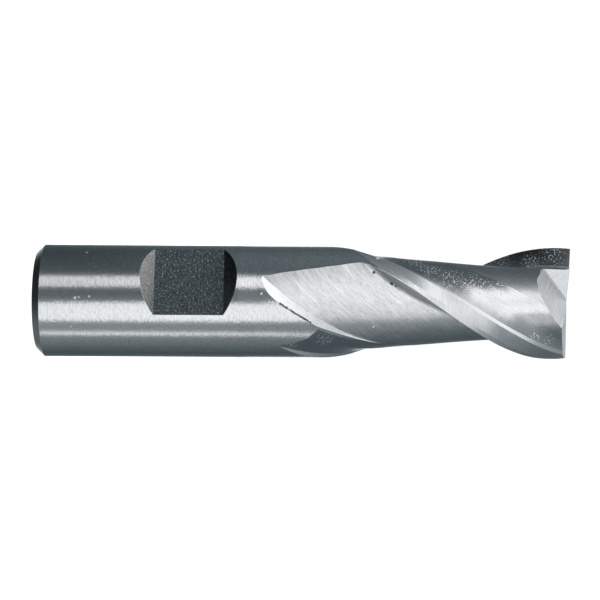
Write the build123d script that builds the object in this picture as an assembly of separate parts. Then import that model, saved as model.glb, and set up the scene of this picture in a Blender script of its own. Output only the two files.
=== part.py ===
from build123d import *
import math
import os

# A two-flute, single-end, centre-cutting end mill, ground from one round bar of high speed steel.
# The shank end stands on z = 0 and the cutting end points up. Lengths are in millimetres and angles in
# degrees. "Behind" is the angle back from a cutting edge, against the way the tool turns.

# Bar and shank. Only the length that the holder grips is ground to size, and behind the flutes the bar
# stays a little under it.
overall_length = 90.49
shank_diameter = 19.05
shank_length = 51.59
ground_shank_length = 34.0
neck_undercut = 0.05
neck_taper = 3.0
rear_chamfer = 1.27

# Clamping flat for the holder's set screw, which faces -Y
flat_length = 11.56
flat_from_shank_end = 25.80
flat_depth = 2.25
flat_end_angle = 45.0

# Cutting end
cutting_diameter = 19.05
cut_length = 33.34
core_diameter = 12.0
helix_angle = 35.0
tip_edge_angle = 38.5
face_lean = 5.0
root_radius = 0.6

# Gullet, the first and deepest pass of the flute. Its wall swings and leans back where the wheel leaves.
gullet_wall_behind = 75.5
gullet_wall_swing = 13.0
gullet_wall_lean = 35.0
gullet_wall_settles = 54.0
gullet_exit_height = 38.0
gullet_exit_rise = 17.5
gullet_wall_runout = 20.0
gullet_face_runout = 16.0

# Back-off, the second pass, which clears the back of each tooth
backoff_depth = 1.60
backoff_depth_behind = 47.0
backoff_last_behind = 72.0
backoff_overlap = 0.03
heel_behind_rear = 22.0
heel_behind_tip = 30.0
heel_depth = 0.76
heel_bevel_lean = 25.4
backoff_exit_height = 40.6
backoff_exit_rise = 8.2
backoff_runout = 13.0

# Lands, relieved in two flats behind a hair-thin margin
margin_width = 0.10
primary_width = 1.0
primary_clearance = 9.0
secondary_clearance = 20.0
land_starts_before = 4.0
land_runin = 4.0

# End teeth
dish_angle = 2.2
end_primary_width = 1.2
end_primary_clearance = 7.0
end_secondary_clearance = 17.0
gash_root_angle = 37.6
gash_opening_angle = 113.0
gash_root_radius = 0.4
gash_reach = 8.0

# Sizes that follow from the ones above
shank_radius = shank_diameter / 2
neck_radius = shank_radius - neck_undercut
cut_radius = cutting_diameter / 2
core_radius = core_diameter / 2
cut_start = overall_length - cut_length
half_turn = 180.0
clear_air = 0.25 * cut_radius
outer_radius = max(shank_radius, cut_radius) + 2 * clear_air
above_tip = 3.0
run_spacing = 3.0
flute_spacing = 7.0


def cosd(angle):
    return math.cos(math.radians(angle))


def sind(angle):
    return math.sin(math.radians(angle))


def tand(angle):
    return math.tan(math.radians(angle))


# The back of each tooth is one arc. Its centre lies on the line to the cutting edge.
backoff_radius = cut_radius - backoff_depth
back_centre = (backoff_radius**2 - core_radius**2) / (
    2 * (core_radius + backoff_radius * cosd(backoff_depth_behind))
)
back_radius = core_radius + back_centre


def back_at(behind):
    """Radius of the tooth's back at an angle behind its cutting edge."""
    return back_centre * cosd(behind) + math.sqrt(back_radius**2 - (back_centre * sind(behind)) ** 2)


def helix_turn(height):
    """Angle of the first cutting edge round from X, at a height along the tool."""
    twist = (overall_length - height) * tand(helix_angle) / cut_radius
    return tip_edge_angle - math.degrees(twist)


def place(behind, radius, height):
    """Point at an angle behind the first cutting edge and a radius, on the section at a height."""
    turn = helix_turn(height) - behind
    return (radius * cosd(turn), radius * sind(turn), height)


def polar(x, y):
    """Angle behind the edge and radius of a point in the section, where X runs to the edge."""
    return math.degrees(math.atan2(y, x)) % 360, math.hypot(x, y)


def share_of(value, start, end):
    """How far a value is from start to end, held between 0 and 1."""
    return min(max((value - start) / (end - start), 0), 1)


def lift(depth, progress):
    """How far the wheel has left the full depth. At progress 0 it leaves the bar, at 1 it is full."""
    if progress >= 1:
        return 0
    if progress >= 0:
        return depth * (1 - progress) ** 3
    return depth + clear_air * (1 - math.exp(3 * depth * progress / clear_air))


def heights(first, dense_until):
    """Heights of the sections of a pass, close together where the wheel leaves the bar."""
    found = [first]
    while found[-1] < overall_length + above_tip:
        found.append(found[-1] + (run_spacing if found[-1] < dense_until else flute_spacing))
    return found


def curve_through(points):
    """Curve through points that are shared out evenly along it, so that sections match one another."""
    return Edge.make_spline(points, parameters=[i / (len(points) - 1) for i in range(len(points))])


def closed_face(edges):
    """Face inside a closed chain of edges."""
    return make_face(Wire(edges))


def root_corner():
    """The corner between the tooth's back and the next cutting face, then the top of that face."""
    along = (cosd(face_lean), sind(face_lean))
    away = (-sind(face_lean), cosd(face_lean))
    start_x = -cut_radius + root_radius * away[0] - back_centre
    start_y = root_radius * away[1]
    reach = start_x * along[0] + start_y * along[1]
    gap = start_x**2 + start_y**2 - (back_radius + root_radius) ** 2
    travel = -reach - math.sqrt(reach**2 - gap)
    centre = Vector(start_x + travel * along[0] + back_centre, start_y + travel * along[1])
    to_back = (Vector(back_centre, 0) - centre).normalized() * root_radius
    to_face = Vector(*away) * -root_radius
    to_corner = (to_back + to_face).normalized() * root_radius
    over = outer_radius - cut_radius
    face_top = Vector(-cut_radius - over * along[0], -over * along[1])
    points = (centre + to_back, centre + to_corner, centre + to_face, face_top)
    return [polar(point.X, point.Y) for point in points]


def wall_top(behind, lean):
    """Top of the gullet's wall, which rises from the tooth's back and leans towards the edge."""
    foot = Vector(back_at(behind) * cosd(behind), back_at(behind) * sind(behind))
    rim = Vector(cut_radius * cosd(behind - lean), cut_radius * sind(behind - lean))
    climb = (rim - foot).normalized()
    inward = foot.dot(climb)
    length = math.sqrt(inward**2 + outer_radius**2 - foot.dot(foot)) - inward
    top = foot + climb * length
    return polar(top.X, top.Y)


def gullet_section(height):
    """Section of what the gullet pass grinds away."""
    first_behind = gullet_wall_behind + gullet_wall_swing
    unsettled = 1 - share_of(height, gullet_exit_height, gullet_wall_settles)
    wall = gullet_wall_behind + gullet_wall_swing * unsettled**1.5
    lean = 1 + gullet_wall_lean * unsettled**2.5

    def lifted(behind, radius):
        share = min((behind - first_behind) / (half_turn - first_behind), 1)
        depth = cut_radius - back_at(min(behind, half_turn))
        runout = gullet_wall_runout + (gullet_face_runout - gullet_wall_runout) * share
        leaves = gullet_exit_height + gullet_exit_rise * share
        return place(behind, radius + lift(depth, (height - leaves) / runout), height)

    corner = root_corner()
    steps = 6
    floor = []
    for step in range(steps + 1):
        behind = wall + (corner[0][0] - wall) * step / steps
        floor.append(lifted(behind, back_at(behind)))
    face_foot = lifted(*corner[2])
    face_top = lifted(*corner[3])
    wall_end = lifted(*wall_top(wall, lean))
    over = lifted((wall + half_turn) / 2, outer_radius + 2 * clear_air)
    return closed_face(
        [
            curve_through(floor),
            Edge.make_three_point_arc(lifted(*corner[0]), lifted(*corner[1]), face_foot),
            Edge.make_line(face_foot, face_top),
            Edge.make_three_point_arc(face_top, over, wall_end),
            Edge.make_line(wall_end, floor[0]),
        ]
    )


def backoff_section(height):
    """Section of what the back-off pass grinds away."""
    share = share_of(height, cut_start, overall_length)
    heel_behind = heel_behind_rear + (heel_behind_tip - heel_behind_rear) * share

    def lifted(behind, radius):
        part = share_of(behind, heel_behind_rear, backoff_last_behind)
        depth = backoff_depth if behind > heel_behind else heel_depth
        leaves = backoff_exit_height + backoff_exit_rise * part
        return place(behind, radius + lift(depth, (height - leaves) / backoff_runout), height)

    heel = lifted(heel_behind, cut_radius - heel_depth)
    heel_top = lifted(heel_behind - heel_bevel_lean, outer_radius)
    steps = 3
    floor = [heel]
    for step in range(steps + 1):
        behind = backoff_depth_behind + (backoff_last_behind - backoff_depth_behind) * step / steps
        overlap = backoff_overlap * step / steps
        floor.append(lifted(behind, back_at(behind) - overlap))
    last = back_at(backoff_last_behind) - backoff_overlap
    last_x = last * cosd(backoff_last_behind)
    last_y = last * sind(backoff_last_behind)
    facing = math.degrees(math.atan2(last_y, last_x - back_centre))
    run = outer_radius
    end = lifted(*polar(last_x - run * sind(facing), last_y + run * cosd(facing)))
    over = lifted(backoff_last_behind, outer_radius + 3 * clear_air)
    return closed_face(
        [
            curve_through(floor),
            Edge.make_line(floor[-1], end),
            Edge.make_three_point_arc(end, over, heel_top),
            Edge.make_line(heel_top, heel),
        ]
    )


def land_section(height):
    """Section of what the relief grinding takes off one land."""
    above = (cut_start - land_starts_before + land_runin - height) / land_runin
    raised_by = heel_depth / 2 * above**2 if above > 0 else 0

    def local(x, y):
        behind, radius = polar(x, y)
        if behind > half_turn:
            behind -= 2 * half_turn
        return place(behind, radius + raised_by, height)

    lead_in = 2 * primary_width
    land_reach = 0.6 * cut_radius
    primary_x = cut_radius - (primary_width - margin_width) * tand(primary_clearance)
    land_x = primary_x - (land_reach - primary_width) * tand(secondary_clearance)
    corners = [
        local(cut_radius + (margin_width + lead_in) * tand(primary_clearance), -lead_in),
        local(primary_x, primary_width),
        local(land_x, land_reach),
        local(land_x + 2 * clear_air, land_reach + clear_air),
        local(cut_radius + 2 * clear_air, -lead_in),
    ]
    return closed_face([Edge.make_line(a, b) for a, b in zip(corners, corners[1:] + corners[:1])])


def bar():
    """The round blank: rear chamfer, ground shank, slim neck and cutting diameter."""
    profile = Polyline(
        (0, 0),
        (shank_radius - rear_chamfer, 0),
        (shank_radius, rear_chamfer),
        (shank_radius, ground_shank_length),
        (neck_radius, ground_shank_length + neck_taper),
        (neck_radius, shank_length),
        (cut_radius, cut_start),
        (cut_radius, overall_length),
        (0, overall_length),
        close=True,
    )
    return revolve(Plane.XZ * make_face(profile), axis=Axis.Z)


def clamping_flat():
    """What the clamping flat takes off: a trapezium across the shank, with sloped ends."""
    low = flat_from_shank_end - flat_length / 2
    high = flat_from_shank_end + flat_length / 2
    over = flat_depth + 1
    slope = over / tand(flat_end_angle)
    floor_y = flat_depth - shank_radius
    outline = Polyline(
        (floor_y, low),
        (floor_y, high),
        (floor_y - over, high + slope),
        (floor_y - over, low - slope),
        close=True,
    )
    return extrude(Plane.YZ * make_face(outline), amount=shank_radius, both=True)


def root_ahead():
    """Angle from a cutting edge forward to the root of its face."""
    return half_turn - root_corner()[1][0]


def gash():
    """The notch ahead of one end tooth. Its root line climbs from the flute's root to the centre."""
    turn = tip_edge_angle + root_ahead()
    outward = cosd(gash_root_angle)
    root = Vector(outward * cosd(turn), outward * sind(turn), -sind(gash_root_angle))
    across = Plane(origin=(0, 0, overall_length), x_dir=(-sind(turn), cosd(turn), 0), z_dir=root)
    reach = 2 * cut_radius
    floor_end = (reach * sind(gash_opening_angle), reach * cosd(gash_opening_angle))
    wedge = make_face(Polyline((0, 0), (0, reach), (reach, reach), floor_end, close=True))
    rounded = fillet(wedge.vertices().sort_by_distance((0, 0))[0], gash_root_radius)
    return extrude(across * rounded, amount=gash_reach, both=True)


def end_relief():
    """What the end grinding takes off behind one end tooth: two flats, dished towards the centre."""
    turn = tip_edge_angle + root_ahead()
    rise = cut_radius * sind(root_ahead()) * tand(end_primary_clearance)
    corner = (cut_radius * cosd(turn), cut_radius * sind(turn), overall_length + rise)
    towards = -cosd(dish_angle)
    inward = Vector(towards * cosd(turn), towards * sind(turn), -sind(dish_angle))
    reach = 2 * cut_radius
    primary_drop = end_primary_width * tand(end_primary_clearance)
    secondary_drop = (reach - end_primary_width) * tand(end_secondary_clearance)
    outline = Polyline(
        (0, 0),
        (end_primary_width, -primary_drop),
        (reach, -primary_drop - secondary_drop),
        (reach, reach),
        (0, reach),
        close=True,
    )
    section = Plane(origin=corner, x_dir=(sind(turn), -cosd(turn), 0), z_dir=inward) * make_face(outline)
    return extrude(section, amount=2 * reach, both=True)


gullet = loft([gullet_section(height) for height in heights(gullet_exit_height - 4, cut_start + 10)])
backoff = loft([backoff_section(height) for height in heights(backoff_exit_height - 4, cut_start)])
land_start = cut_start - land_starts_before
land = loft([land_section(height) for height in heights(land_start - 3, cut_start + 3)])

end_mill = bar() - clamping_flat()
for turn in (0, half_turn):
    for cutter in (gullet, backoff, land, gash(), end_relief()):
        end_mill = end_mill - Rot(0, 0, turn) * cutter

os.makedirs("parts", exist_ok=True)
export_step(end_mill, "parts/end_mill.step")
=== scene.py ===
import math

import bpy
from bpy.props import FloatProperty, FloatVectorProperty, PointerProperty
from mathutils import Matrix, Vector


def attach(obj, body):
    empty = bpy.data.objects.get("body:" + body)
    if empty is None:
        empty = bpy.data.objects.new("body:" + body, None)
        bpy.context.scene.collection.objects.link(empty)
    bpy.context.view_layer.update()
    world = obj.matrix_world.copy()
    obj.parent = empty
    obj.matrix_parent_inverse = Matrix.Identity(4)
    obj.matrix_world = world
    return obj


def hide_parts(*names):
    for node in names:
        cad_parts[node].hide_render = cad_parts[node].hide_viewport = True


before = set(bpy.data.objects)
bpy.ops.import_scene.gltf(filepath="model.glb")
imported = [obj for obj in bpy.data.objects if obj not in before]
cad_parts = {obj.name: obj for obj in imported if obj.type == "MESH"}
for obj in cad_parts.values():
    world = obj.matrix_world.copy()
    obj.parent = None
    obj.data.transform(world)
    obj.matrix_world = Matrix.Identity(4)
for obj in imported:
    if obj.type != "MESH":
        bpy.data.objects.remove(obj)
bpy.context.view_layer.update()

bl_info = {
    "name": "End mill",
    "version": (1, 0, 0),
    "blender": (4, 5, 0),
    "location": "View3D > Sidebar > End mill",
    "description": "Dresses a two-flute end mill in ground steel and sets a small studio round it",
    "category": "Object",
}

NODE = "end_mill"
PER_METRE = 1000  # millimetres in a metre


class EndMillSizes(bpy.types.PropertyGroup):
    """Where the tool's ground surfaces lie, for the direction of their grinding marks"""

    radius: FloatProperty(
        name="Cutting radius",
        description="Half of the cutting diameter",
        default=0.009525,
        unit="LENGTH",
    )
    length: FloatProperty(
        name="Overall length",
        description="From the shank's end to the end teeth",
        default=0.09049,
        unit="LENGTH",
    )
    helix: FloatProperty(
        name="Helix angle",
        description="Slope of the cutting edges to the tool's axis",
        default=math.radians(35),
        subtype="ANGLE",
    )
    tip_edge: FloatProperty(
        name="Edge at the tip",
        description="Direction of one end tooth's corner, round from X",
        default=math.radians(38.5),
        subtype="ANGLE",
    )
    flute_lay: FloatProperty(
        name="Flute marks",
        description="Angle of the wheel's marks in the flutes to the tool's axis",
        default=math.radians(42),
        subtype="ANGLE",
    )
    edge_round: FloatProperty(
        name="Edge round",
        description="Radius of the stoned edges, which catch a thin line of light",
        default=0.0001,
        unit="LENGTH",
    )


class EndMillFinish(bpy.types.PropertyGroup):
    """Colours of the steel"""

    steel: FloatVectorProperty(
        name="Ground steel",
        description="Reflected colour of the ground surfaces",
        subtype="COLOR",
        size=3,
        min=0,
        max=1,
        default=(0.62, 0.63, 0.64),
    )
    milled: FloatVectorProperty(
        name="Milled steel",
        description="Reflected colour of the coarse clamping flat",
        subtype="COLOR",
        size=3,
        min=0,
        max=1,
        default=(0.15, 0.185, 0.205),
    )
    # Dark nicks, and the burr's line, which is partly a real burr and partly painted shadow
    burr_and_shadow: FloatVectorProperty(
        name="Burr",
        description="Reflected colour of the dark nicks and the burr where the wheel leaves the neck",
        subtype="COLOR",
        size=3,
        min=0,
        max=1,
        default=(0.08, 0.09, 0.10),
    )
    # Bright steel also lightens the stoned edges, partly as real wear and partly as a painted highlight
    bright: FloatVectorProperty(
        name="Bright steel",
        description="Reflected colour of scratches, specks, bright nicks and worn edges",
        subtype="COLOR",
        size=3,
        min=0,
        max=1,
        default=(0.90, 0.91, 0.92),
    )


class EndMillStudio(bpy.types.PropertyGroup):
    """The camera, floor and lights"""

    camera_turn: FloatProperty(
        name="Camera turn",
        description="Direction of the camera from the tool's axis, round from X",
        default=math.radians(-63.5),
        subtype="ANGLE",
    )
    camera_distance: FloatProperty(
        name="Camera distance",
        description="From the camera to the tool's axis",
        default=0.2648,
        unit="LENGTH",
    )
    camera_height: FloatProperty(
        name="Camera height",
        description="Height on the tool that the camera looks at",
        default=0.0445,
        unit="LENGTH",
    )
    camera_offset: FloatProperty(
        name="Camera offset",
        description="How far beside the axis the camera looks",
        default=0.000325,
        unit="LENGTH",
    )
    camera_yaw: FloatProperty(
        name="Camera yaw",
        description="How far the camera looks along the tool towards its tip",
        default=math.radians(1.5),
        subtype="ANGLE",
    )
    camera_roll: FloatProperty(
        name="Camera roll",
        description="Turn of the tool in the picture",
        default=math.radians(0.36),
        subtype="ANGLE",
    )
    room: FloatProperty(
        name="Room light",
        description="Strength of the dim light from all sides",
        default=0.10,
    )
    fill: FloatProperty(
        name="Fill light",
        description="Strength of the broad light from below the camera's side",
        default=0.28,
    )
    ceiling: FloatProperty(
        name="Ceiling light",
        description="Strength of the broad light from above",
        default=1.1,
    )
    floor_glow: FloatProperty(
        name="Floor in reflections",
        description="Strength of the pale floor where the steel reflects it at a slant",
        default=0.28,
    )
    floor_size: FloatProperty(
        name="Floor size",
        description="Width of the floor",
        default=4.0,
        unit="LENGTH",
    )


def settings():
    """The scene's sizes, finish and studio."""
    scene = bpy.context.scene
    return scene.end_mill_sizes, scene.end_mill_finish, scene.end_mill_studio


# Surfaces of the tool. The frame's mesh is loose where one ground surface meets the next, so each
# loose part is one surface, told by where it lies and which way it faces.

CHAMFER_TOP = 0.0013  # heights up the tool, in metres
SHANK_TOP = 0.035
FLAT_TOP = 0.040
NECK_TOP = 0.058
GASH_DEPTH = 0.008  # from the end teeth down, in metres

LAND_END = 16.5  # how far behind the cutting edge each surface ends, in degrees
BEVEL_END = 30
BACK_END = 79

FLUTE_REACH = 0.8  # distance of the flutes from the axis, as a share of the cutting radius
MERGE_DISTANCE = 1e-7  # metres

ALONG_HELIX = ("gullet", "gullet_wall", "tooth_back", "heel_bevel", "land", "cutting_face")


def edge_turn(height, sizes):
    """Direction of the first cutting edge at a height, which keeps falling down the tool."""
    return sizes.tip_edge - (sizes.length - height) * math.tan(sizes.helix) / sizes.radius


def patches_of(mesh):
    """The faces of each loose part of a mesh."""
    owner = list(range(len(mesh.vertices)))

    def first(vertex):
        while owner[vertex] != vertex:
            owner[vertex] = owner[owner[vertex]]
            vertex = owner[vertex]
        return vertex

    for face in mesh.polygons:
        start, *others = face.vertices
        for other in others:
            owner[first(other)] = first(start)
    patches = {}
    for face in mesh.polygons:
        patches.setdefault(first(face.vertices[0]), []).append(face)
    return list(patches.values())


def surface_of(patch, sizes):
    """Name of the surface that a patch is. Up, front and out are 1 where it faces that way."""
    area = sum(face.area for face in patch)

    def mean(value):
        return sum(value(face) * face.area for face in patch) / area

    def reach(face):
        return max(math.hypot(face.center.x, face.center.y), 1e-6)

    def outward(face):
        return (face.normal.x * face.center.x + face.normal.y * face.center.y) / reach(face)

    def behind(face):
        turn = math.atan2(face.center.y, face.center.x)
        return math.degrees(edge_turn(face.center.z, sizes) - turn) % 180

    high = mean(lambda face: face.center.z)
    up = mean(lambda face: face.normal.z)
    front = mean(lambda face: -face.normal.y)
    out = mean(outward)
    back = mean(behind)
    near = mean(reach) / sizes.radius
    if up < -0.9:
        return "turned_end"
    if high < CHAMFER_TOP:
        return "turned_chamfer"
    if front > 0.95:
        return "flat_floor"
    if high < FLAT_TOP and front > 0.5 and abs(up) > 0.6:
        return "flat_slope"
    if up > 0.9:
        return "end_land"
    if high > sizes.length - GASH_DEPTH and near < 0.7:
        return "gash_rake" if up < 0.35 else "gash"
    if out > 0.995 and near > 0.985:
        if high < SHANK_TOP:
            return "ground_shank"
        return "neck" if high < NECK_TOP else "land"
    if back < LAND_END:
        return "land"
    if back < BEVEL_END:
        return "heel_bevel"
    if near > 0.75 and 0.3 < up < 0.6:
        return "gullet_wall"
    if back < BACK_END:
        return "tooth_back"
    if out > 0.5:
        return "gullet"
    return "cutting_face"


def unrolled(place, near, radius):
    """Distance round the tool and height of a point, in millimetres, without a jump near a direction."""
    turn = math.atan2(place.y, place.x)
    turn = near + math.remainder(turn - near, 2 * math.pi)
    return turn * radius * PER_METRE, place.z * PER_METRE


def lay_of(surface, place, near, sizes):
    """Place of a point along and across the grinding marks of its surface, in millimetres."""
    if surface in ("flat_floor", "flat_slope"):
        return place.x * PER_METRE, place.z * PER_METRE
    around, up = unrolled(place, near, sizes.radius)
    from_axis = math.hypot(place.x, place.y) * PER_METRE
    if surface in ("turned_end", "turned_chamfer"):
        return around, from_axis
    if surface in ("gash", "gash_rake", "end_land"):
        # Across the end, and slanted with the height so that the steep faces are marked too
        side = sizes.tip_edge
        across = (place.x * math.cos(side) + place.y * math.sin(side)) * PER_METRE
        along = (place.y * math.cos(side) - place.x * math.sin(side)) * PER_METRE
        return along + 0.6 * up, across + 0.8 * up
    if surface in ("ground_shank", "neck", "land"):
        return around, up
    if surface == "cutting_face":
        return up / math.cos(sizes.helix), from_axis
    slope = sizes.flute_lay if surface == "gullet" else sizes.helix
    around *= FLUTE_REACH
    return (
        up * math.cos(slope) + around * math.sin(slope),
        around * math.cos(slope) - up * math.sin(slope),
    )


def only(piece):
    """Selects one object and nothing else."""
    bpy.ops.object.select_all(action="DESELECT")
    piece.select_set(True)
    bpy.context.view_layer.objects.active = piece


# Small helpers for node trees. Each takes sockets or numbers, and gives its last node's output socket.


def feed(tree, sockets, values):
    """Links each value that is a socket to its input, and sets each other value on it."""
    for socket, value in zip(sockets, values):
        if value is None:
            continue
        if hasattr(value, "is_output"):
            tree.links.new(value, socket)
        else:
            socket.default_value = value


def maths(tree, kind, first, second, third=None, clamp=False):
    """One maths node."""
    node = tree.nodes.new("ShaderNodeMath")
    node.operation = kind
    node.use_clamp = clamp
    feed(tree, node.inputs, (first, second, third))
    return node.outputs[0]


def product(tree, first, *others):
    """All the values multiplied."""
    for other in others:
        first = maths(tree, "MULTIPLY", first, other)
    return first


def scaled(tree, value, gain, offset, clamp=False):
    """A value times a gain plus an offset. Clamped, it is a mask from 0 to 1."""
    return maths(tree, "MULTIPLY_ADD", value, gain, offset, clamp)


def vector_maths(tree, kind, first, second=None):
    """One vector maths node. It gives a number for a distance, a dot product or a length."""
    node = tree.nodes.new("ShaderNodeVectorMath")
    node.operation = kind
    feed(tree, node.inputs, (first, second))
    return node.outputs["Value" if kind in ("DISTANCE", "DOT_PRODUCT", "LENGTH") else "Vector"]


def blended(tree, factor, first, second):
    """Mix of two colours by a mask. The second is red, green and blue, the first may be a socket."""
    node = tree.nodes.new("ShaderNodeMix")
    node.data_type = "RGBA"
    if not hasattr(first, "is_output"):
        first = (*first, 1)
    sockets = [node.inputs[name] for name in ("Factor", "A", "B")]
    feed(tree, sockets, (factor, first, (*second, 1)))
    return node.outputs["Result"]


def stretched_noise(tree, place, along, across, detail, roughness=0.6):
    """Noise drawn out along the marks: so many features per millimetre along them and across them."""
    noise = tree.nodes.new("ShaderNodeTexNoise")
    noise.noise_dimensions = "2D"
    noise.inputs["Scale"].default_value = 1
    noise.inputs["Detail"].default_value = detail
    noise.inputs["Roughness"].default_value = roughness
    tree.links.new(vector_maths(tree, "MULTIPLY", place, (along, across, 1)), noise.inputs["Vector"])
    return noise.outputs["Fac"]


# Node groups


def new_group(name, inputs, outputs):
    """An empty node group with named inputs and outputs. Gives it, its input node and its output node."""
    group = bpy.data.node_groups.new(name, "ShaderNodeTree")
    for socket_name, kind, value in inputs:
        socket = group.interface.new_socket(socket_name, in_out="INPUT", socket_type=kind)
        if value is not None:
            socket.default_value = value
    for socket_name in outputs:
        group.interface.new_socket(socket_name, in_out="OUTPUT", socket_type="NodeSocketFloat")
    return group, group.nodes.new("NodeGroupInput"), group.nodes.new("NodeGroupOutput")


def wheel_marks():
    """Node group of the marks that a grinding wheel leaves: a fine lay, long scratches, grain and pits."""
    group, start, end = new_group(
        "wheel_marks",
        [
            ("Place", "NodeSocketVector", None),
            ("Length", "NodeSocketFloat", 1.0),
            ("Scratches", "NodeSocketFloat", 0.5),
            ("Grain", "NodeSocketFloat", 0.5),
            ("Pits", "NodeSocketFloat", 0.3),
            ("Specks", "NodeSocketFloat", 0.0),
            ("Crowd", "NodeSocketFloat", 0.0),
        ],
        ["Lay", "Scratch", "Pit", "Speck", "Height"],
    )
    place = start.outputs["Place"]
    apart = group.nodes.new("ShaderNodeSeparateXYZ")
    joined = group.nodes.new("ShaderNodeCombineXYZ")
    group.links.new(place, apart.inputs[0])
    shortened = maths(group, "DIVIDE", apart.outputs["X"], start.outputs["Length"])
    feed(group, joined.inputs, (shortened, apart.outputs["Y"]))
    drawn = joined.outputs["Vector"]

    fine = stretched_noise(group, drawn, along=1.0, across=3.8, detail=2)
    broad = stretched_noise(group, drawn, along=0.22, across=0.7, detail=2)
    lay = maths(group, "ADD", product(group, fine, 0.75), product(group, broad, 0.25))

    long_marks = stretched_noise(group, drawn, along=0.28, across=2.9, detail=1, roughness=0.4)
    scratch = scaled(group, long_marks, gain=9.0, offset=-5.6, clamp=True)
    scratch = product(group, scratch, start.outputs["Scratches"])

    grain = stretched_noise(group, place, along=2.3, across=2.9, detail=2, roughness=0.7)
    pit = scaled(group, grain, gain=8.0, offset=-5.0, clamp=True)
    pit = product(group, pit, start.outputs["Pits"])

    dots = stretched_noise(group, place, along=2.7, across=3.1, detail=1, roughness=0.5)
    dots = scaled(group, start.outputs["Crowd"], gain=0.2, offset=dots)
    speck = scaled(group, dots, gain=14.0, offset=-10.6, clamp=True)
    speck = product(group, speck, start.outputs["Specks"])

    height = scaled(group, grain, gain=start.outputs["Grain"], offset=lay)
    height = maths(group, "SUBTRACT", height, product(group, scratch, 0.4))
    feed(group, end.inputs, (lay, scratch, pit, speck, height))
    return group


def worn_edge():
    """Node group that finds the stoned edges, where the rounded normal leaves the surface's own. The
    material lightens them, partly as real wear and partly as a painted highlight.
    """
    group, start, end = new_group(
        "worn_edge",
        [
            ("Rounded", "NodeSocketVector", None),
            ("Surface", "NodeSocketVector", None),
            ("Wear", "NodeSocketFloat", 0.5),
            ("Ragged", "NodeSocketFloat", 0.5),
        ],
        ["Edge"],
    )
    alike = vector_maths(group, "DOT_PRODUCT", start.outputs["Rounded"], start.outputs["Surface"])
    edge = scaled(group, alike, gain=-14.0, offset=13.9, clamp=True)
    ragged = scaled(group, start.outputs["Ragged"], gain=4.0, offset=-1.1, clamp=True)
    group.links.new(product(group, edge, start.outputs["Wear"], ragged), end.inputs["Edge"])
    return group


# Places of wear, in millimetres from the middle of the shank's end: x, y, z, radius. Both teeth are
# speckled alike, half a turn apart. The nicks and the burr are on the side that is towards the camera.
# The burr's dark line, where the flute's wall meets the neck, is partly a real burr and partly painted
# shadow.

SPECKLED = (
    (-4.4, -6.5, 63.8, 3.0), (-2.3, -7.6, 66.1, 3.0), (-0.7, -7.9, 69.4, 3.2), (0.3, -7.8, 73.5, 3.2),
    (0.9, -7.5, 76.9, 2.8), (7.7, -3.4, 83.8, 1.4), (8.0, -2.2, 86.4, 1.5), (-9.0, 1.0, 79.8, 3.2),
    (-8.3, -4.0, 88.0, 3.6), (-7.0, -1.5, 84.5, 2.6), (9.1, -2.2, 43.2, 1.6), (8.3, -2.5, 48.5, 2.4),
)
BRIGHT_NICKS = (
    (-4.9, -8.1, 8.7, 0.22), (3.8, -8.7, 7.3, 0.25), (3.7, -8.8, 7.9, 0.16), (3.6, -8.8, 9.6, 0.18),
    (7.6, -5.7, 6.6, 0.16), (3.0, -9.0, 37.9, 0.22), (4.3, -8.5, 39.2, 0.24), (4.3, -8.5, 39.8, 0.24),
    (6.1, -3.1, 56.7, 0.24), (-4.2, -8.2, 57.4, 0.4), (-4.1, -7.8, 58.2, 0.4),
)
DARK_NICKS = ((-1.4, -8.4, 56.6, 0.32), (0.2, -7.5, 59.6, 0.34), (0.6, -7.3, 60.3, 0.22))
# The burr's line: a real burr and painted shadow along the border of the flute's wall and the neck
BURR_AND_SHADOW = ((4.5, -8.36, 41.0), (5.8, -7.5, 43.5), (6.95, -6.45, 46.0))

SPECKLE_SHARPNESS = 1.6  # a spot is whole up to 1 - 1/sharpness of its radius
NICK_SHARPNESS = 3.0
BURR_AND_SHADOW_SHARPNESS = 8.0  # how fast the burr and its painted shadow end, for each millimetre
BURR_AND_SHADOW_GRAIN = 1800  # features of the ragged border of the burr and its painted shadow, in a metre


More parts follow.
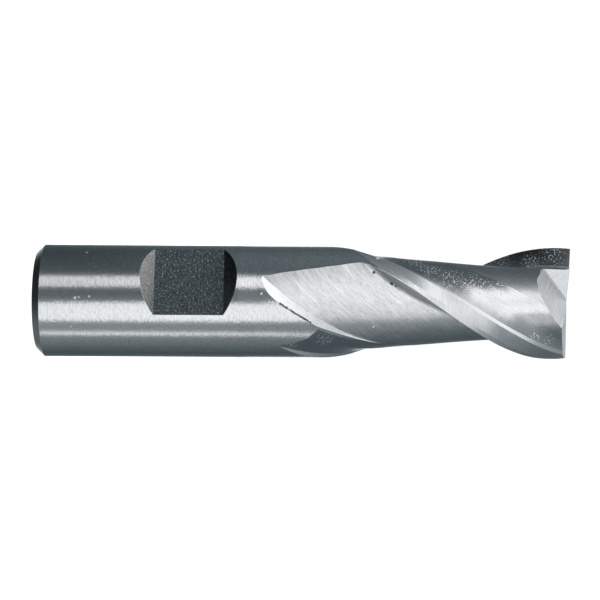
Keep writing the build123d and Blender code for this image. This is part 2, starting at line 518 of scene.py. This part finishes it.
def worn_places():
    """Node group of the speckled patches, the single nicks and the burr with its painted shadow, by their
    place on the tool.
    """
    group, start, end = new_group(
        "worn_places", [("Place", "NodeSocketVector", None)], ["Crowd", "Bright", "Dark"]
    )
    place = start.outputs["Place"]

    def nearness(spots, sharpness):
        """Mask of round spots."""
        found = 0.0
        for x, y, z, radius in spots:
            middle = (x / PER_METRE, y / PER_METRE, z / PER_METRE)
            away = vector_maths(group, "DISTANCE", place, middle)
            near = scaled(group, away, -PER_METRE * sharpness / radius, sharpness, clamp=True)
            found = maths(group, "MAXIMUM", near, found)
        return found

    ragged = group.nodes.new("ShaderNodeTexNoise")
    ragged.inputs["Scale"].default_value = BURR_AND_SHADOW_GRAIN
    group.links.new(place, ragged.inputs["Vector"])

    def beside(first, last):
        """Mask along a straight run of the burr and its painted shadow, which ends within half a
        millimetre.
        """
        first, last = Vector(first) / PER_METRE, Vector(last) / PER_METRE
        way = (last - first).normalized()
        gone = vector_maths(group, "SUBTRACT", place, first)
        share = maths(group, "MAXIMUM", vector_maths(group, "DOT_PRODUCT", gone, way), 0.0)
        share = maths(group, "MINIMUM", share, (last - first).length)
        foot = group.nodes.new("ShaderNodeVectorMath")
        foot.operation = "SCALE"
        feed(group, (foot.inputs[0], foot.inputs["Scale"]), (way, share))
        away = vector_maths(group, "DISTANCE", gone, foot.outputs["Vector"])
        near = scaled(group, away, gain=-BURR_AND_SHADOW_SHARPNESS * PER_METRE, offset=4.7)
        return scaled(group, ragged.outputs["Fac"], gain=-5.0, offset=near, clamp=True)

    both_teeth = SPECKLED + tuple((-x, -y, z, radius) for x, y, z, radius in SPECKLED)
    dark = nearness(DARK_NICKS, NICK_SHARPNESS)
    for first, last in zip(BURR_AND_SHADOW, BURR_AND_SHADOW[1:]):
        dark = maths(group, "MAXIMUM", dark, beside(first, last))
    group.links.new(nearness(both_teeth, SPECKLE_SHARPNESS), end.inputs["Crowd"])
    group.links.new(nearness(BRIGHT_NICKS, NICK_SHARPNESS), end.inputs["Bright"])
    group.links.new(dark, end.inputs["Dark"])
    return group


# How each surface looks, where it differs from plain ground steel. Painted light and shade lightens or
# darkens the steel of the whole surface, as a painted highlight or painted shade for how it faces the
# lights.
# Mottle and spread are how far the colour and roughness change over the marks. Depth and length are those
# of the marks, in millimetres. Drawn is how much the marks draw a reflection out, crowd is how close the
# specks stand, and edge is how worn the stoned edges are; their lighter colour is partly real wear and
# partly a painted highlight.

PLAIN = dict(
    colour="steel", painted_light_and_shade=1.0, mottle=0.7, roughness=0.35, spread=0.15, depth=0.010, length=2.0,
    grain=0.5, scratches=0.0, pits=0.1, specks=0.0, crowd=0.0, edge=0.3, edge_wear_and_highlight_colour="bright", drawn=0.3,
)
LOOKS = {
    "ground_shank": dict(
        roughness=0.21, depth=0.022, length=0.7, grain=0.12, edge_wear_and_highlight_colour="steel", drawn=0.4,
    ),
    "neck": dict(
        roughness=0.22, spread=0.12, depth=0.022, length=0.7, grain=0.12, edge_wear_and_highlight_colour="steel", drawn=0.4,
    ),
    "turned_chamfer": dict(
        painted_light_and_shade=0.8, mottle=0.8, spread=0.2, length=3.0, scratches=0.1, pits=0.2, edge=0.2,
        edge_wear_and_highlight_colour="steel", drawn=0.4,
    ),
    "turned_end": dict(
        painted_light_and_shade=0.8, mottle=0.8, roughness=0.32, spread=0.2, length=4.0, scratches=0.3, pits=0.2,
        specks=0.2, drawn=0.5,
    ),
    "flat_floor": dict(
        colour="milled", mottle=2.8, roughness=0.46, spread=0.3, depth=0.13, length=0.3, grain=2.8,
        pits=0.5, specks=0.3, crowd=0.7, edge_wear_and_highlight_colour="steel", drawn=0.0,
    ),
    "flat_slope": dict(
        painted_light_and_shade=0.42, mottle=1.8, roughness=0.28, spread=0.2, depth=0.03, length=0.35, grain=1.5,
        pits=0.2, specks=0.25, crowd=0.6, edge_wear_and_highlight_colour="steel", drawn=0.0,
    ),
    "gullet": dict(
        painted_light_and_shade=1.05, mottle=0.95, roughness=0.34, depth=0.006, length=1.4, grain=0.6, scratches=0.4,
        pits=0.35, specks=0.1, edge=0.7, drawn=0.5,
    ),
    "gullet_wall": dict(
        painted_light_and_shade=1.6, mottle=0.6, roughness=0.42, spread=0.1, depth=0.014, length=1.5, grain=1.4,
        pits=0.2, edge=0.4,
    ),
    "tooth_back": dict(
        painted_light_and_shade=0.98, mottle=0.4, roughness=0.25, depth=0.006, length=2.2, scratches=0.2, pits=0.05,
        specks=0.7, edge=0.7,
    ),
    "heel_bevel": dict(
        painted_light_and_shade=1.3, mottle=0.5, roughness=0.36, spread=0.1, depth=0.008, length=4.0, grain=0.3,
        scratches=0.1, edge=0.9,
    ),
    "land": dict(
        painted_light_and_shade=1.22, mottle=0.6, roughness=0.40, grain=0.4, scratches=0.1, edge=0.9,
    ),
    "cutting_face": dict(
        painted_light_and_shade=0.75, mottle=0.9, roughness=0.30, depth=0.012, grain=1.2, scratches=0.1, pits=0.3,
        specks=0.75, edge=0.8,
    ),
    "gash": dict(
        painted_light_and_shade=0.92, roughness=0.55, length=3.0, scratches=0.4, pits=0.2, specks=0.1, edge=0.8,
    ),
    "gash_rake": dict(
        painted_light_and_shade=1.4, mottle=0.6, roughness=0.42, length=3.0, scratches=0.3, pits=0.2, specks=0.1, edge=0.8,
    ),
    "end_land": dict(
        painted_light_and_shade=0.42, mottle=0.5, spread=0.1, depth=0.008, length=4.0, grain=0.3, scratches=0.2, edge=0.9,
    ),
}

PLAIN_LAY = 0.38  # the lay under which the steel keeps its plain colour
DULLEST = 0.35  # what is left of that colour where the lay is highest
PIT_ROUGHNESS = 0.3  # what a pit, a speck and a bright nick add to the roughness
SPECK_ROUGHNESS = 0.45
NICK_ROUGHNESS = 0.6
QUARTER_TURN = 0.25


def steel(name, groups, sizes, finish, look):
    """A ground steel material, with the numbers of its look."""
    material = bpy.data.materials.new(name)
    material.use_nodes = True
    tree = material.node_tree
    shader = tree.nodes["Principled BSDF"]

    def placed(group):
        node = tree.nodes.new("ShaderNodeGroup")
        node.node_tree = groups[group]
        return node

    marks, places, wear_and_highlight = placed("marks"), placed("places"), placed("edge")
    tree.links.new(tree.nodes.new("ShaderNodeTexCoord").outputs["Object"], places.inputs["Place"])
    lay_map = tree.nodes.new("ShaderNodeUVMap")
    lay_map.uv_map = "lay"
    tree.links.new(lay_map.outputs["UV"], marks.inputs["Place"])
    tree.links.new(maths(tree, "ADD", places.outputs["Crowd"], look["crowd"]), marks.inputs["Crowd"])
    for socket in ("Length", "Scratches", "Grain", "Pits", "Specks"):
        marks.inputs[socket].default_value = look[socket.lower()]
    lay, pit, speck = marks.outputs["Lay"], marks.outputs["Pit"], marks.outputs["Speck"]
    bright, dark = places.outputs["Bright"], places.outputs["Dark"]

    rounded = tree.nodes.new("ShaderNodeBevel")
    rounded.samples = 6
    rounded.inputs["Radius"].default_value = sizes.edge_round
    surface = tree.nodes.new("ShaderNodeNewGeometry")
    wear_and_highlight.inputs["Wear"].default_value = look["edge"]
    tree.links.new(rounded.outputs["Normal"], wear_and_highlight.inputs["Rounded"])
    tree.links.new(surface.outputs["Normal"], wear_and_highlight.inputs["Surface"])
    tree.links.new(lay, wear_and_highlight.inputs["Ragged"])

    mottle, spread = look["mottle"], look["spread"]
    dulled = scaled(tree, lay, gain=mottle, offset=-PLAIN_LAY * mottle, clamp=True)
    dulled = maths(tree, "ADD", dulled, pit, clamp=True)
    # Painted light and shade: the whole surface's steel colour made lighter or darker for how it faces the
    # lights
    painted_steel = [part * look["painted_light_and_shade"] for part in getattr(finish, look["colour"])]
    colour = blended(tree, dulled, painted_steel, [DULLEST * part for part in painted_steel])
    for mask, over in (
        (marks.outputs["Scratch"], finish.bright),
        (speck, finish.bright),
        # Stoned edges: a lighter colour, partly real wear and partly a painted highlight
        (wear_and_highlight.outputs["Edge"], getattr(finish, look["edge_wear_and_highlight_colour"])),
        (bright, finish.bright),
        # Burr's line: partly a real burr and partly painted shadow; the dark nicks are marks of the steel
        (dark, finish.burr_and_shadow),
    ):
        colour = blended(tree, mask, colour, over)
    tree.links.new(colour, shader.inputs["Base Color"])

    rough = scaled(tree, lay, gain=spread * 0.4, offset=look["roughness"] - spread * 0.2)
    rough = scaled(tree, pit, PIT_ROUGHNESS, rough)
    rough = scaled(tree, speck, SPECK_ROUGHNESS, rough)
    rough = scaled(tree, bright, NICK_ROUGHNESS, rough, clamp=True)
    tree.links.new(rough, shader.inputs["Roughness"])

    relief = tree.nodes.new("ShaderNodeBump")
    relief.inputs["Strength"].default_value = 1
    relief.inputs["Distance"].default_value = look["depth"] / PER_METRE
    tree.links.new(marks.outputs["Height"], relief.inputs["Height"])
    tree.links.new(rounded.outputs["Normal"], relief.inputs["Normal"])
    tree.links.new(relief.outputs["Normal"], shader.inputs["Normal"])

    shader.inputs["Metallic"].default_value = 1
    shader.inputs["Anisotropic"].default_value = look["drawn"]
    if look["drawn"]:
        shader.inputs["Anisotropic Rotation"].default_value = QUARTER_TURN
        tangent = tree.nodes.new("ShaderNodeTangent")
        tangent.direction_type = "UV_MAP"
        tangent.uv_map = "lay"
        tree.links.new(tangent.outputs["Tangent"], shader.inputs["Tangent"])
    return material


class OBJECT_OT_end_mill_body(bpy.types.Operator):
    """Dress the ground body of the end mill: its surfaces, their finishes and the way their marks run"""

    bl_idname = "object.end_mill_body"
    bl_label = "Ground body"

    def execute(self, context):
        sizes, finish, _ = settings()
        only(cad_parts[NODE])
        bpy.ops.object.duplicate()
        body = context.active_object
        body.name = "ground_body"
        mesh = body.data
        mesh.name = "ground_body"
        for key in list(body.keys()):
            del body[key]

        groups = {"marks": wheel_marks(), "edge": worn_edge(), "places": worn_places()}
        mesh.materials.clear()
        for name, look in LOOKS.items():
            mesh.materials.append(steel(name, groups, sizes, finish, {**PLAIN, **look}))
        lay = mesh.uv_layers.new(name="lay").data
        for patch in patches_of(mesh):
            surface = surface_of(patch, sizes)
            for face in patch:
                face.material_index = list(LOOKS).index(surface)
                turn = math.atan2(face.center.y, face.center.x)
                if surface in ALONG_HELIX:
                    edge = edge_turn(face.center.z, sizes)
                    turn = edge - (edge - turn) % (2 * math.pi)
                for corner in face.loop_indices:
                    place = mesh.vertices[mesh.loops[corner].vertex_index].co
                    lay[corner].uv = lay_of(surface, place, turn, sizes)

        # The borders of the loose parts become sharp edges before the parts are merged
        only(body)
        bpy.ops.object.shade_smooth()
        bpy.ops.object.mode_set(mode="EDIT")
        bpy.ops.mesh.select_mode(type="EDGE")
        bpy.ops.mesh.select_all(action="DESELECT")
        bpy.ops.mesh.select_non_manifold()
        bpy.ops.mesh.mark_sharp()
        bpy.ops.mesh.select_all(action="SELECT")
        bpy.ops.mesh.remove_doubles(threshold=MERGE_DISTANCE)
        bpy.ops.mesh.customdata_custom_splitnormals_clear()
        bpy.ops.object.mode_set(mode="OBJECT")
        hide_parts(NODE)
        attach(body, "root")
        return {"FINISHED"}


# The studio. Its directions are in degrees from the camera, round the tool and upwards in the picture.

STRIP_DISTANCE = 0.45  # metres from the tool's axis
STRIP_COLOUR = (1.0, 0.985, 0.975)
STRIPS = (
    # name, direction, width, heights of its low and high end in metres, brightness
    ("upper_strip", 39.5, 0.185, -0.13, 0.30, 0.92),
    ("upper_panel", 42, 0.215, 0.03, 0.30, 0.62),
    ("front_panel", 10.5, 0.29, 0.125, 0.335, 1.30),
    ("top_panel", 8, 0.45, 0.62, 1.02, 1.40),
    ("main_strip", -22.5, 0.31, -0.13, 0.225, 1.16),
    ("side_panel", -14, 0.45, 0.20, 0.34, 0.12),
    ("broad_side_panel", -20, 0.60, 0.20, 0.45, 0.10),
    ("low_strip", -69.5, 0.065, -0.13, 0.105, 0.93),
    ("back_strip", 171, 0.12, -0.20, 0.60, 0.90),
    ("back_low_strip", -169, 0.08, -0.20, 0.60, 0.80),
)

SEEN_WHITE = 1.05  # a little past white, so that the ground behind the tool shows no tone
DIM_TINT = (0.62, 0.92, 1.05)
BRIGHT_TINT = (0.97, 0.99, 1.0)
GLANCE_STRENGTH = 0.16
BEHIND_STRENGTH = 0.16
DARKEST_BELOW = 0.15  # what is left of the room light straight below
LEAST_CEILING = 0.15  # what is left of the ceiling light on its dim side

IMAGE_WIDTH = 600  # pixels
FOCAL_LENGTH = 1549  # pixels
SENSOR_WIDTH = 36  # millimetres


def round_from_camera(studio, degrees):
    """X and Y of a level direction that is so many degrees from the camera."""
    turn = studio.camera_turn - math.radians(degrees)
    return math.cos(turn), math.sin(turn)


def strip_light(context, studio, name, degrees, width, low, high, glow):
    """A tall soft strip that faces the tool."""
    height = high - low
    light = bpy.data.lights.new(name, "AREA")
    light.shape = "RECTANGLE"
    light.size = width
    light.size_y = height
    light.color = STRIP_COLOUR
    light.energy = glow * math.pi * width * height
    piece = bpy.data.objects.new(name, light)
    piece.visible_camera = False
    context.scene.collection.objects.link(piece)
    x, y = round_from_camera(studio, degrees)
    piece.location = (STRIP_DISTANCE * x, STRIP_DISTANCE * y, (low + high) / 2)
    piece.rotation_euler = Vector((-x, -y, 0)).to_track_quat("-Z", "Y").to_euler()


def surround(studio):
    """The world: white where the camera sees it, and for reflections a dim room, lighter above."""
    world = bpy.data.worlds.new("surround")
    world.use_nodes = True
    tree = world.node_tree
    direction = tree.nodes.new("ShaderNodeTexCoord").outputs["Generated"]
    apart = tree.nodes.new("ShaderNodeSeparateXYZ")
    tree.links.new(direction, apart.inputs[0])
    lift = apart.outputs["Z"]
    drop = product(tree, lift, -1.0)

    def towards(degrees):
        """How far a direction points to a level one."""
        return vector_maths(tree, "DOT_PRODUCT", direction, (*round_from_camera(studio, degrees), 0))

    def lobe(degrees, power):
        """A soft area of light. A higher power makes it narrower."""
        return maths(tree, "POWER", maths(tree, "MAXIMUM", towards(degrees), 0.0), power)

    def rising(value, low, high, top, bottom=0.0):
        """A smooth step from bottom to top, between a low and a high value."""
        node = tree.nodes.new("ShaderNodeMapRange")
        node.interpolation_type = "SMOOTHSTEP"
        names = ("Value", "From Min", "From Max", "To Min", "To Max")
        feed(tree, [node.inputs[name] for name in names], (value, low, high, bottom, top))
        return node.outputs["Result"]

    def without(value):
        """What a share leaves of the whole."""
        return maths(tree, "SUBTRACT", 1.0, value)

    # The room: a broad fill from the lower side of the picture, a glance from its upper side and a
    # little light from behind, all of it dimmer towards the floor
    level = product(tree, lobe(-55, 2.0), studio.fill, without(rising(lift, 0.05, 0.17, top=0.75)))
    glance = product(
        tree,
        lobe(92, 4.0),
        GLANCE_STRENGTH,
        rising(lift, -0.12, 0.02, top=1.0, bottom=-0.5),
        without(rising(lift, 0.06, 0.18, top=0.8)),
    )
    for light in (glance, product(tree, lobe(180, 8.0), BEHIND_STRENGTH), studio.room):
        level = maths(tree, "ADD", level, light)
    below = maths(tree, "MAXIMUM", scaled(tree, lift, gain=2.2, offset=1.2), DARKEST_BELOW)
    level = product(tree, level, maths(tree, "MINIMUM", below, 1.0))

    # The ceiling, brighter on the upper side of the picture
    side = maths(tree, "ADD", rising(towards(115), -0.4, 0.3, top=0.85), LEAST_CEILING)
    ceiling = product(tree, rising(lift, 0.32, 0.62, top=studio.ceiling), side)
    level = maths(tree, "ADD", level, ceiling)

    # The pale floor: a band that slanting views reflect, and a steeper area on the lower side
    band = maths(
        tree, "SUBTRACT", rising(drop, 0.18, 0.27, top=1.0), rising(drop, 0.45, 0.62, top=1.0)
    )
    away = maths(tree, "MULTIPLY", towards(-75), 1.9, clamp=True)
    steep = product(tree, away, away, rising(drop, 0.45, 0.65, top=2.0))
    floor = product(tree, maths(tree, "ADD", band, steep), studio.floor_glow)
    level = maths(tree, "ADD", level, floor)

    dim = tree.nodes.new("ShaderNodeBackground")
    brightness = maths(tree, "MULTIPLY", level, 2.2, clamp=True)
    tree.links.new(blended(tree, brightness, DIM_TINT, BRIGHT_TINT), dim.inputs["Color"])
    tree.links.new(level, dim.inputs["Strength"])
    seen = tree.nodes["Background"]
    seen.inputs["Color"].default_value = (1, 1, 1, 1)
    seen.inputs["Strength"].default_value = SEEN_WHITE
    path = tree.nodes.new("ShaderNodeLightPath")
    mix = tree.nodes.new("ShaderNodeMixShader")
    feed(
        tree,
        mix.inputs,
        (path.outputs["Is Camera Ray"], dim.outputs["Background"], seen.outputs["Background"]),
    )
    tree.links.new(mix.outputs["Shader"], tree.nodes["World Output"].inputs["Surface"])
    return world


def paper():
    """The floor's plain white paper, which glows more the further it is from the tool."""
    material = bpy.data.materials.new("paper")
    material.use_nodes = True
    tree = material.node_tree
    shader = tree.nodes["Principled BSDF"]
    shader.inputs["Base Color"].default_value = (0.9, 0.9, 0.9, 1)
    shader.inputs["Roughness"].default_value = 1
    shader.inputs["Emission Color"].default_value = (1, 1, 1, 1)
    away = vector_maths(tree, "LENGTH", tree.nodes.new("ShaderNodeTexCoord").outputs["Object"])
    glow = maths(tree, "MINIMUM", scaled(tree, away, gain=0.8, offset=0.86), 1.0)
    tree.links.new(glow, shader.inputs["Emission Strength"])
    return material


def add_camera(context, studio):
    """The camera beside the tool, turned so that the tool lies in the picture with its tip at the right."""
    side = Vector((*round_from_camera(studio, 0), 0))
    rise = Vector((0, 0, 1))
    yaw, roll = studio.camera_yaw, studio.camera_roll
    back = side * math.cos(yaw) - rise * math.sin(yaw)
    right = rise * math.cos(yaw) + side * math.sin(yaw)
    up = back.cross(right)
    across = right * math.cos(roll) + up * math.sin(roll)
    along = up * math.cos(roll) - right * math.sin(roll)
    place = Matrix((across, along, back)).transposed().to_4x4()
    target = rise * studio.camera_height + up * studio.camera_offset
    place.translation = target + back * studio.camera_distance
    lens = bpy.data.cameras.new("camera")
    lens.sensor_width = SENSOR_WIDTH
    lens.lens = FOCAL_LENGTH * SENSOR_WIDTH / IMAGE_WIDTH
    lens.clip_start = 0.005
    lens.clip_end = 20
    camera = bpy.data.objects.new("camera", lens)
    context.scene.collection.objects.link(camera)
    camera.matrix_world = place
    context.scene.camera = camera


class OBJECT_OT_end_mill_stage(bpy.types.Operator):
    """Set the floor, the camera, the soft strips and the white surround"""

    bl_idname = "object.end_mill_stage"
    bl_label = "Studio"

    def execute(self, context):
        _, _, studio = settings()
        bpy.ops.object.select_all(action="DESELECT")
        bpy.ops.mesh.primitive_plane_add(size=studio.floor_size, location=(0, 0, 0))
        floor = context.active_object
        floor.name = "floor"
        floor.visible_glossy = False
        floor.visible_shadow = False
        floor.data.materials.append(paper())

        add_camera(context, studio)
        context.scene.world = surround(studio)
        for strip in STRIPS:
            strip_light(context, studio, *strip)
        context.scene.view_settings.view_transform = "Standard"
        return {"FINISHED"}


class VIEW3D_PT_end_mill(bpy.types.Panel):
    """The end mill's pieces, sizes, finish and studio"""

    bl_idname = "VIEW3D_PT_end_mill"
    bl_label = "End mill"
    bl_space_type = "VIEW_3D"
    bl_region_type = "UI"
    bl_category = "End mill"

    def draw(self, context):
        layout = self.layout
        for group in settings():
            for name in group.__annotations__:
                layout.prop(group, name)
        for operator in (OBJECT_OT_end_mill_body, OBJECT_OT_end_mill_stage):
            layout.operator(operator.bl_idname)


CLASSES = (
    EndMillSizes,
    EndMillFinish,
    EndMillStudio,
    OBJECT_OT_end_mill_body,
    OBJECT_OT_end_mill_stage,
    VIEW3D_PT_end_mill,
)


def register():
    for part in CLASSES:
        bpy.utils.register_class(part)
    bpy.types.Scene.end_mill_sizes = PointerProperty(type=EndMillSizes)
    bpy.types.Scene.end_mill_finish = PointerProperty(type=EndMillFinish)
    bpy.types.Scene.end_mill_studio = PointerProperty(type=EndMillStudio)


def unregister():
    del bpy.types.Scene.end_mill_studio
    del bpy.types.Scene.end_mill_finish
    del bpy.types.Scene.end_mill_sizes
    for part in reversed(CLASSES):
        bpy.utils.unregister_class(part)


def main():
    register()
    bpy.ops.object.end_mill_body()
    bpy.ops.object.end_mill_stage()


if __name__ == "__main__":
    main()
